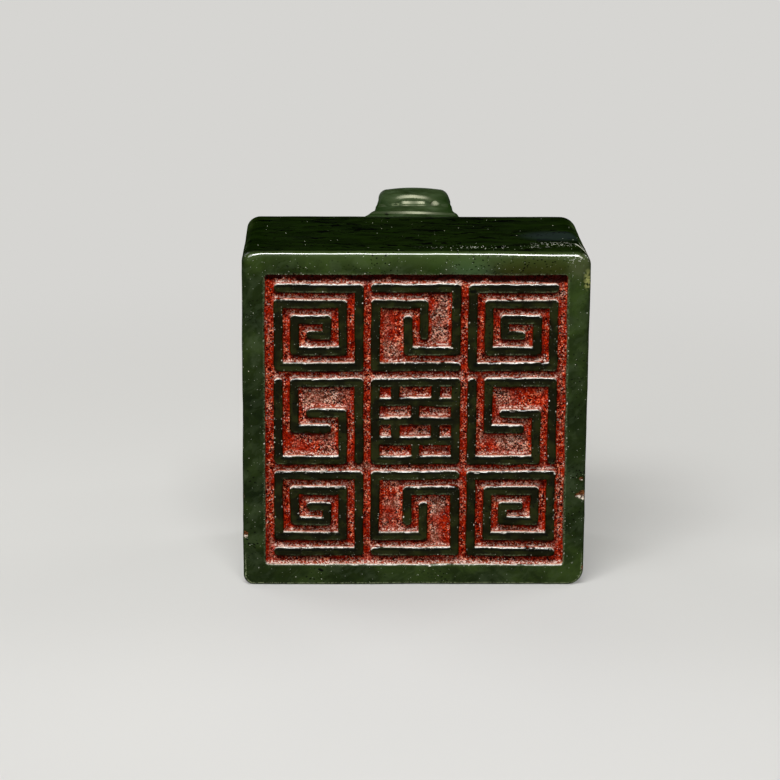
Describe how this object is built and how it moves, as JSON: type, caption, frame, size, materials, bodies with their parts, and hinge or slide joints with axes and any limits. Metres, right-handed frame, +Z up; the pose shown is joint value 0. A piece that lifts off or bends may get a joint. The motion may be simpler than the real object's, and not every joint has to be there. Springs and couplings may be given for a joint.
{
  "type": "seal stamp",
  "caption": "Square dark green jade seal stamp lying on its side: sunken printing face with a raised key fret and dried red paste, and an arched strap handle on its back.",
  "frame": {"origin": "under the middle of the bounding box, on the surface that the seal lies on", "axes": "the printing face looks to -Y and the handle reaches to +Y; +Z is up, with the seal lying on one side of its block; +X is to the right as one looks at the printing face"},
  "size_m": [0.1, 0.1234, 0.0995],
  "materials": {
    "dark_jade": "polished, worn at the edges",
    "pale_jade": "high polish, slightly translucent",
    "red_paste": "matt, gritty, dried"
  },
  "bodies": {
    "root": {"seal_block": "dark_jade", "bridge_handle": "pale_jade", "paste_bed": "red_paste", "paste_window_01": "red_paste", "paste_window_02": "red_paste", "paste_window_03": "red_paste", "paste_window_04": "red_paste", "paste_window_05": "red_paste", "paste_window_06": "red_paste", "paste_window_07": "red_paste", "paste_window_08": "red_paste", "paste_window_09": "red_paste", "paste_window_10": "red_paste"}
  },
  "joints": []
}
